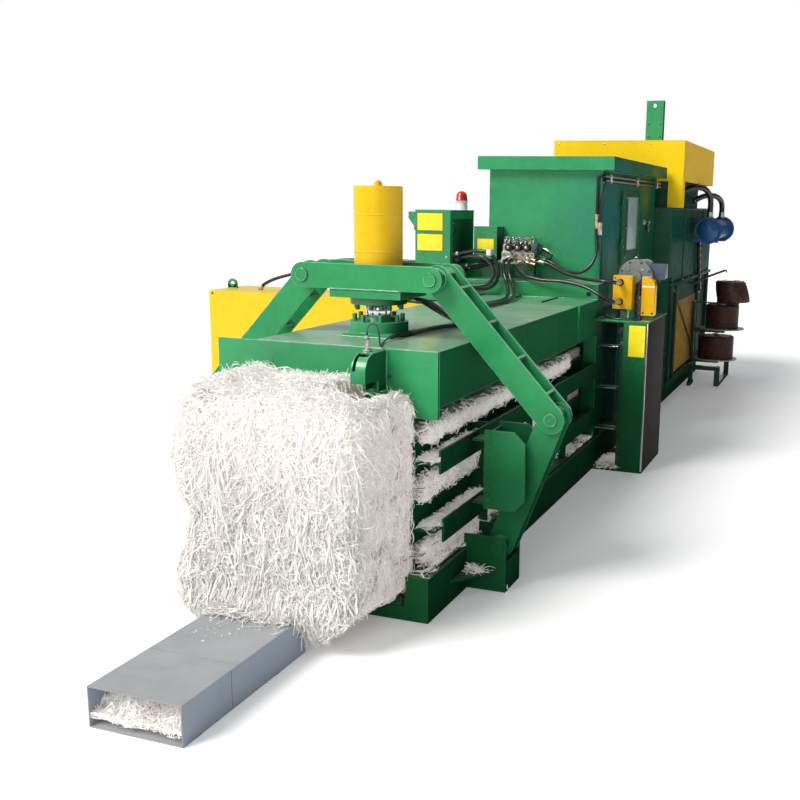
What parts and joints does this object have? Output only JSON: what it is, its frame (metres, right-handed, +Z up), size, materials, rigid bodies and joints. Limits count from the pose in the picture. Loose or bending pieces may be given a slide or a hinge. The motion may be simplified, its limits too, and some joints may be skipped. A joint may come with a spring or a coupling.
{
  "type": "recycling baler",
  "caption": "Horizontal baler for shredded paper: hopper and ram channel, top press plate squeezed by a cylinder and toggle arms, wire-tying station and a bale in its mouth.",
  "frame": {"origin": "on the floor, on the machine's centre line, below the front face of the top press plate at the discharge end", "axes": "+Z up, +Y back along the machine from the discharge end to the hydraulic end, +X to the machine's right side seen from the discharge end"},
  "size_m": [5.6557, 13.289, 4.076],
  "materials": {
    "green_paint": "semi-gloss",
    "yellow_paint": "semi-gloss",
    "amber_paint": "semi-gloss",
    "dark_green_paint": "satin",
    "grey_paint": "satin",
    "blue_paint": "semi-gloss",
    "bright_steel": "brushed",
    "dark_steel": "worn",
    "rod_chrome": "polished",
    "cast_grey": "rough",
    "hose_rubber": "matt",
    "beacon_plastic": "gloss",
    "shredded_paper": "matt",
    "wire_steel": "oxidised"
  },
  "bodies": {
    "frame": {"base_frame": "green_paint", "chute": "grey_paint", "control_cabinet": "green_paint", "cooler_hoses": "hose_rubber", "drive_cover_left": "amber_paint", "drive_cover_right": "amber_paint", "feed_chamber": "dark_green_paint", "guide_plates_left": "green_paint", "guide_plates_right": "green_paint", "guide_rods": "bright_steel", "hopper": "green_paint", "hopper_pipes": "dark_steel", "junction_box": "green_paint", "lever_bracket_left": "green_paint", "lever_bracket_right": "green_paint", "main_cylinder": "dark_green_paint", "mast": "green_paint", "needle_cover": "yellow_paint", "needle_track": "green_paint", "oil_cooler": "blue_paint", "paper_bale": "shredded_paper", "portal_frame": "green_paint", "press_hoses": "hose_rubber", "rear_cover": "yellow_paint", "rear_housing": "dark_green_paint", "side_rails_left": "green_paint", "side_rails_right": "green_paint", "spool_rack": "dark_green_paint", "twister_bar": "dark_steel", "twister_motor": "cast_grey", "twister_post": "green_paint", "twister_shelf": "green_paint", "valve_hoses": "hose_rubber", "valve_manifold": "bright_steel", "warning_beacon": "beacon_plastic", "wire_spool_upper": "wire_steel"},
    "yoke": {"yoke": "green_paint", "press_cylinder": "yellow_paint", "yoke_pins": "green_paint", "flange_screws_upper": "dark_steel"},
    "press_plate": {"top_press_plate": "green_paint", "press_rod": "rod_chrome", "flange_screws_lower": "dark_steel", "sensor_bracket": "green_paint"},
    "arm_right": {"arm_right": "green_paint", "elbow_pin_right": "green_paint"},
    "arm_left": {"arm_left": "green_paint", "elbow_pin_left": "green_paint"},
    "lever_right": {"lever_right": "green_paint"},
    "lever_left": {"lever_left": "green_paint"},
    "ram": {"ram_platen": "dark_green_paint", "ram_rod": "rod_chrome"},
    "access_door": {"access_door": "green_paint"},
    "door_handle": {"door_handle": "dark_steel"},
    "cabinet_door": {"cabinet_door": "green_paint"},
    "needle_carriage": {"needle_carriage": "dark_steel", "needles": "bright_steel"},
    "twister_shaft": {"twister_shaft": "dark_steel"},
    "spool_lower": {"wire_spool_lower": "wire_steel"},
    "spool_middle": {"wire_spool_middle": "wire_steel"}
  },
  "joints": [
    {"name": "yoke_slide", "type": "slide", "parent": "frame", "child": "yoke", "axis": [0, 0, 1], "range_m": [0, 0.05], "deforming": ["press_hoses"]},
    {"name": "press_plate_hinge", "type": "hinge", "parent": "frame", "child": "press_plate", "pos_m": [0.02, 3.425, 1.56], "axis": [1, 0, 0], "range_deg": [0, 0.526]},
    {"name": "arm_right_hinge", "type": "hinge", "parent": "yoke", "child": "arm_right", "pos_m": [0.49, 0.65, 2.171], "axis": [0, 1, 0], "range_deg": [0, 2.51]},
    {"name": "arm_left_hinge", "type": "hinge", "parent": "yoke", "child": "arm_left", "pos_m": [-0.49, 0.65, 2.171], "axis": [0, 1, 0], "range_deg": [-2.51, 0]},
    {"name": "lever_right_hinge", "type": "hinge", "parent": "frame", "child": "lever_right", "pos_m": [0.982, 0.65, 0.326], "axis": [0, 1, 0], "range_deg": [-2.5, 0]},
    {"name": "lever_left_hinge", "type": "hinge", "parent": "frame", "child": "lever_left", "pos_m": [-0.982, 0.65, 0.326], "axis": [0, 1, 0], "range_deg": [0, 2.5]},
    {"name": "ram_slide", "type": "slide", "parent": "frame", "child": "ram", "axis": [0, -1, 0], "range_m": [0, 3.2]},
    {"name": "access_door_hinge", "type": "hinge", "parent": "frame", "child": "access_door", "pos_m": [0.648, 5.542, 2.44], "axis": [0, 0, 1], "range_deg": [-110, 0]},
    {"name": "door_handle_turn", "type": "hinge", "parent": "access_door", "child": "door_handle", "pos_m": [0.641, 6.927, 2.499], "axis": [1, 0, 0], "range_deg": [0, 90]},
    {"name": "cabinet_door_hinge", "type": "hinge", "parent": "frame", "child": "cabinet_door", "pos_m": [-1.297, 4.158, 2.13], "axis": [0, 0, 1], "range_deg": [-110, 0]},
    {"name": "needle_slide", "type": "slide", "parent": "frame", "child": "needle_carriage", "axis": [1, 0, 0], "range_m": [0, 1.72]},
    {"name": "twister_turn", "type": "hinge", "parent": "frame", "child": "twister_shaft", "pos_m": [1.15, 4.5, 0.8], "axis": [0, 0, 1], "continuous": true},
    {"name": "spool_lower_turn", "type": "hinge", "parent": "frame", "child": "spool_lower", "pos_m": [1.25, 9.7, 0.6], "axis": [0, 0, 1], "continuous": true},
    {"name": "spool_middle_turn", "type": "hinge", "parent": "frame", "child": "spool_middle", "pos_m": [1.32, 9.7, 1.08], "axis": [0, 0, 1], "continuous": true}
  ],
  "couplings": [
    {"joint": "arm_right_hinge", "follows": "yoke_slide", "rad_per_m": 0.86999},
    {"joint": "arm_left_hinge", "follows": "yoke_slide", "rad_per_m": -0.86999},
    {"joint": "lever_right_hinge", "follows": "yoke_slide", "rad_per_m": -0.86419},
    {"joint": "lever_left_hinge", "follows": "yoke_slide", "rad_per_m": 0.86419},
    {"joint": "press_plate_hinge", "follows": "yoke_slide", "rad_per_m": 0.18}
  ]
}
